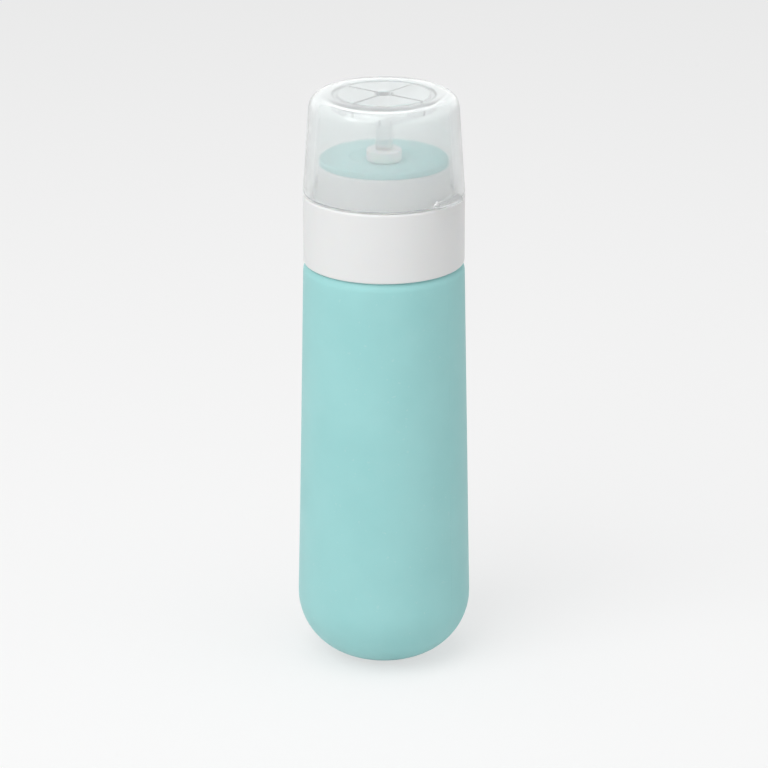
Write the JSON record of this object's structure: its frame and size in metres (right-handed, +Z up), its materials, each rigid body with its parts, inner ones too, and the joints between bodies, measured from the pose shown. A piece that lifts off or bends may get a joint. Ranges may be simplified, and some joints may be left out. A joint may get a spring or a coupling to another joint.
{
  "type": "travel squeeze bottle",
  "caption": "Refillable silicone travel bottle with a nearly round bottom, a white screw collar, a no-drip valve and a tall frosted flip lid.",
  "frame": {"origin": "centre of the flat foot, on the surface that the bottle stands on", "axes": "+Z up along the bottle's axis, +Y towards the lid's hinge, -Y towards the thumb tab, +X to the right seen from the tab"},
  "size_m": [0.0426, 0.0426, 0.1431],
  "materials": {
    "mint_silicone": "matte pastel silicone",
    "white_plastic": "satin white moulded plastic",
    "natural_plastic": "uncoloured moulded plastic",
    "frosted_plastic": "frosted translucent plastic",
    "clear_silicone": "uncoloured soft silicone"
  },
  "bodies": {
    "bottle": {"bottle_body": "mint_silicone", "neck_ring": "natural_plastic"},
    "seal": {"cap_gasket": "clear_silicone"},
    "cap": {"screw_collar": "white_plastic", "spout_valve": "mint_silicone", "valve_retainer": "white_plastic"},
    "lid": {"flip_lid": "frosted_plastic", "lid_stopper": "clear_silicone"}
  },
  "joints": [
    {"name": "cap_lift", "type": "slide", "parent": "bottle", "child": "seal", "axis": [0, 0, 1], "range_m": [0, 0.006]},
    {"name": "cap_turn", "type": "hinge", "parent": "seal", "child": "cap", "pos_m": [0, 0, 0.1154], "axis": [0, 0, 1], "range_deg": [0, 540]},
    {"name": "lid_flip", "type": "hinge", "parent": "cap", "child": "lid", "pos_m": [0, 0.0191, 0.11895], "axis": [-1, 0, 0], "range_deg": [0, 130]}
  ],
  "couplings": [
    {"joint": "cap_lift", "follows": "cap_turn", "m_per_rad": 0.00063661}
  ]
}
